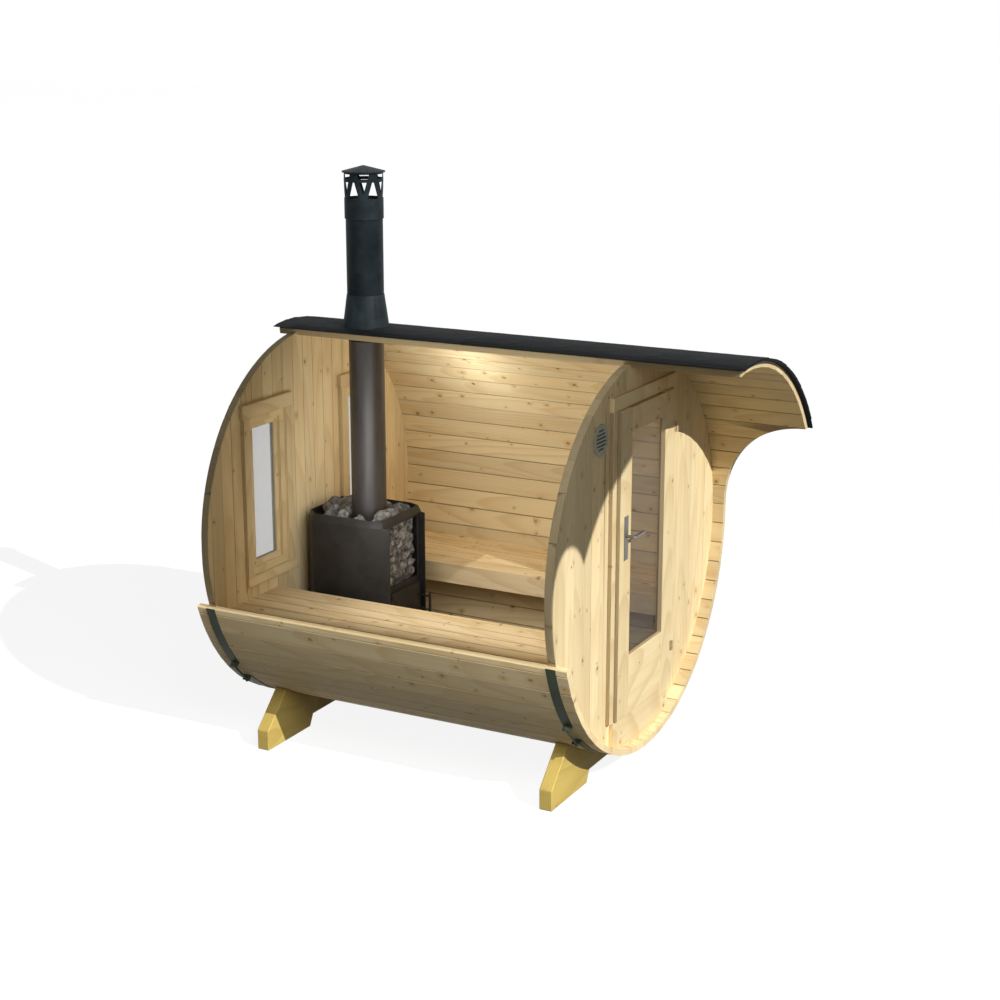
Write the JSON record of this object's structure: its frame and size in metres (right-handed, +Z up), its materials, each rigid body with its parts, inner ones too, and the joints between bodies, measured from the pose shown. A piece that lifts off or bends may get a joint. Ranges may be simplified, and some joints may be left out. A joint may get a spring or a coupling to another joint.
{
  "type": "barrel sauna",
  "caption": "Wooden barrel sauna on cradles, near side open to show benches, stove and flue, with a hinged glazed door under a curved awning.",
  "frame": {"origin": "on the ground under the middle of the overall length, awning included", "axes": "+Z up, barrel axis along Y, door end towards -Y, open near side towards -X"},
  "size_m": [2.024, 2.658, 3.019],
  "materials": {
    "staves": "planed pine, bare",
    "cradle_timber": "treated pine, yellow-green",
    "shingles": "mineral felt",
    "hoop_steel": "dark green-grey paint",
    "wall_boards": "planed pine, bare",
    "joinery": "planed pine, bare",
    "bench_boards": "planed, bare",
    "floor_boards": "planed, bare",
    "clear_glass": "clear",
    "vent_paint": "grey-green",
    "stove_paint": "anthracite heat-proof paint, satin",
    "stove_stone": "rough stone",
    "flue_paint": "dark brown-grey, satin",
    "chimney_paint": "slate black, satin",
    "steel": "brushed"
  },
  "bodies": {
    "sauna": {"near_staves": "staves", "bottom_staves": "staves", "far_lower_staves": "staves", "far_upper_staves": "staves", "roof_staves": "staves", "front_cradle": "cradle_timber", "back_cradle": "cradle_timber", "roof_shingles": "shingles", "front_hoop": "hoop_steel", "back_hoop": "hoop_steel", "front_wall_left": "wall_boards", "front_wall_right": "wall_boards", "front_wall_over_door": "wall_boards", "front_wall_under_door": "wall_boards", "back_wall_near": "wall_boards", "back_wall_middle": "wall_boards", "back_wall_far": "wall_boards", "back_wall_over_windows": "wall_boards", "back_wall_under_windows": "wall_boards", "door_casing": "joinery", "door_sill": "joinery", "near_window_frame": "joinery", "far_window_frame": "joinery", "near_bench_boards": "bench_boards", "near_bench_frame": "bench_boards", "far_bench_boards": "bench_boards", "far_bench_frame": "bench_boards", "floor_boards": "floor_boards", "floor_bearers": "floor_boards", "near_window_glass": "clear_glass", "far_window_glass": "clear_glass", "vent_grille": "vent_paint", "stove_body": "stove_paint", "stove_collar": "stove_paint", "stove_stones": "stove_stone", "flue_pipe": "flue_paint", "chimney_pipe": "chimney_paint", "roof_flashing": "chimney_paint", "chimney_cap": "chimney_paint", "chimney_lid": "chimney_paint", "casing_hinges": "steel"},
    "front_door": {"door_leaf": "joinery", "door_glass": "clear_glass", "handle_plates": "steel", "door_hinges": "steel"},
    "door_lever": {"door_lever": "steel"},
    "stove_door": {"firebox_door": "stove_paint", "firebox_handle": "stove_paint"}
  },
  "joints": [
    {"name": "front_door_swing", "type": "hinge", "parent": "sauna", "child": "front_door", "pos_m": [0.3385, -0.788, 1.148], "axis": [0, 0, 1], "range_deg": [0, 100]},
    {"name": "door_lever_turn", "type": "hinge", "parent": "front_door", "child": "door_lever", "pos_m": [-0.267, -0.78, 1.308], "axis": [0, 1, 0], "range_deg": [0, 40], "stiffness_Nm_per_rad": 1.5, "springref_deg": -11.46},
    {"name": "stove_door_swing", "type": "hinge", "parent": "sauna", "child": "stove_door", "pos_m": [-0.149, 0.638, 0.588], "axis": [0, 0, -1], "range_deg": [0, 110]}
  ]
}
